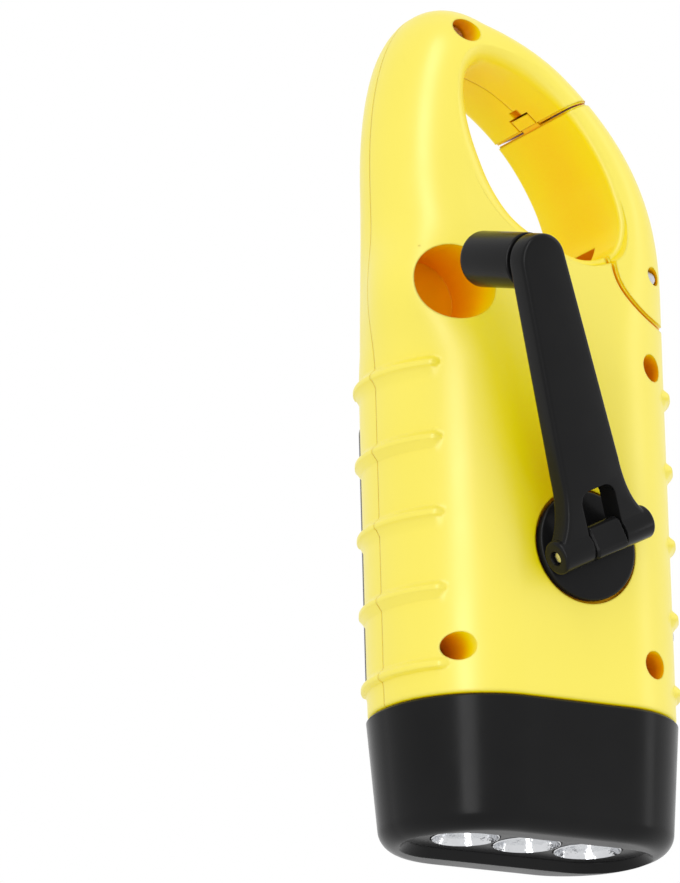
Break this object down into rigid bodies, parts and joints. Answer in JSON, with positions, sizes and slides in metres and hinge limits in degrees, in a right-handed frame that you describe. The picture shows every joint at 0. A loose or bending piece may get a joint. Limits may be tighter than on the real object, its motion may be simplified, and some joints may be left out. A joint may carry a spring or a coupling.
{
  "type": "hand crank flashlight",
  "caption": "Yellow hand crank flashlight with carabiner handle and sprung gate, folding black crank, solar panel and lamp head.",
  "frame": {"origin": "under the middle of the whole outline, in the plane of the lens bezel that it stands on", "axes": "+Z along the body towards the carabiner, +X towards the gate side, -Y out of the crank side, +Y out of the solar side"},
  "size_m": [0.0562, 0.0572, 0.1399],
  "materials": {
    "casing": "yellow moulded plastic, soft gloss",
    "black_plastic": "black moulded plastic, satin",
    "solar_cell": "copper brown cell under clear resin",
    "steel": "plain steel",
    "mirror": "bright metallised plastic",
    "clear": "clear polished plastic",
    "brass": "turned brass",
    "gear_plastic": "natural white plastic",
    "board": "green board",
    "battery_wrap": "green heat-shrunk sleeve",
    "winding": "enamelled copper winding and its case"
  },
  "bodies": {
    "casing": {"front_shell": "casing", "rear_shell": "casing", "panel_frame": "black_plastic", "head_shroud": "black_plastic", "power_switch": "black_plastic", "solar_cell": "solar_cell", "gate_pin": "steel", "gate_spring": "steel", "idler_axle": "steel", "gearbox_plate": "steel", "screw_top": "steel", "screw_gate_side": "steel", "screw_lower_left": "steel", "screw_lower_right": "steel", "reflector": "mirror", "lens": "clear", "led_1": "clear", "led_2": "clear", "led_3": "clear", "circuit_board": "board", "led_board": "board", "battery": "battery_wrap", "generator": "winding"},
    "crank_hub": {"crank_hub": "black_plastic", "hub_screw": "steel", "drive_gear": "gear_plastic"},
    "crank_arm": {"crank_arm": "black_plastic", "crank_pin": "steel", "knob_screw": "steel"},
    "crank_knob": {"crank_knob": "black_plastic"},
    "gate": {"gate": "casing"},
    "power_button": {"power_button": "black_plastic"},
    "idler_gear": {"idler_gear": "gear_plastic"},
    "generator_rotor": {"generator_rotor": "brass"}
  },
  "joints": [
    {"name": "crank_spin", "type": "hinge", "parent": "casing", "child": "crank_hub", "pos_m": [0.00179, 0.01004, 0.0469], "axis": [0, -1, 0], "range_deg": [-720, 810]},
    {"name": "crank_fold", "type": "hinge", "parent": "crank_hub", "child": "crank_arm", "pos_m": [0.00179, -0.01126, 0.0469], "axis": [0.8996, 0, 0.4368], "range_deg": [-21.7, 162]},
    {"name": "knob_spin", "type": "hinge", "parent": "crank_arm", "child": "crank_knob", "pos_m": [-0.01749, -0.0256, 0.0866], "axis": [-0.135, 0.9511, 0.278], "continuous": true},
    {"name": "gate_swing", "type": "hinge", "parent": "casing", "child": "gate", "pos_m": [0.02039, 0.01004, 0.0961], "axis": [0, -1, 0], "range_deg": [0, 25], "stiffness_Nm_per_rad": 0.08, "springref_deg": -22.92},
    {"name": "button_press", "type": "slide", "parent": "casing", "child": "power_button", "axis": [-1, 0, 0], "range_m": [0, 0.0008], "stiffness_N_per_m": 800, "springref_m": -0.001},
    {"name": "idler_spin", "type": "hinge", "parent": "casing", "child": "idler_gear", "pos_m": [-0.01026, 0.01004, 0.0641], "axis": [0, -1, 0], "continuous": true},
    {"name": "rotor_spin", "type": "hinge", "parent": "casing", "child": "generator_rotor", "pos_m": [0.00121, 0.01004, 0.07213], "axis": [0, -1, 0], "continuous": true}
  ],
  "couplings": [
    {"joint": "idler_spin", "follows": "crank_spin", "ratio": -3.3333},
    {"joint": "rotor_spin", "follows": "crank_spin", "ratio": 12}
  ]
}
